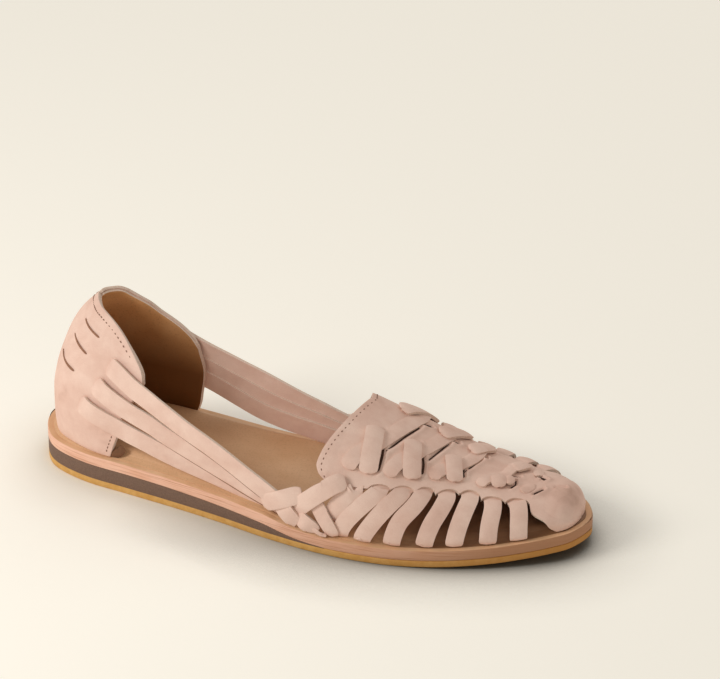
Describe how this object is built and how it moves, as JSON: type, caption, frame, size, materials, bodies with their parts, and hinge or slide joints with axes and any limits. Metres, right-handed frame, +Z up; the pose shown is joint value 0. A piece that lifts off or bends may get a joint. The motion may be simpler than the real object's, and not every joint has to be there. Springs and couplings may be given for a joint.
{
  "type": "huarache sandal",
  "caption": "Woven pink-beige nubuck huarache flat with a closed heel counter, three straps a side, a leather midsole, a dark heel wedge and a gum outsole; right foot.",
  "frame": {"origin": "on the floor plane, under the middle of the heel", "axes": "+X to the toe, +Y to the medial side, +Z up"},
  "size_m": [0.258, 0.0854, 0.0822],
  "materials": {
    "nubuck": "matte nap, dusty pink beige",
    "footbed_leather": "smooth tan",
    "sole_leather": "raw cut edge, burnished",
    "dark_rubber": "matte dark brown",
    "gum": "matte gum crepe"
  },
  "bodies": {
    "root": {"outsole": "gum", "heel_wedge": "dark_rubber", "midsole": "sole_leather", "insole": "footbed_leather", "upper": "nubuck"}
  },
  "joints": []
}
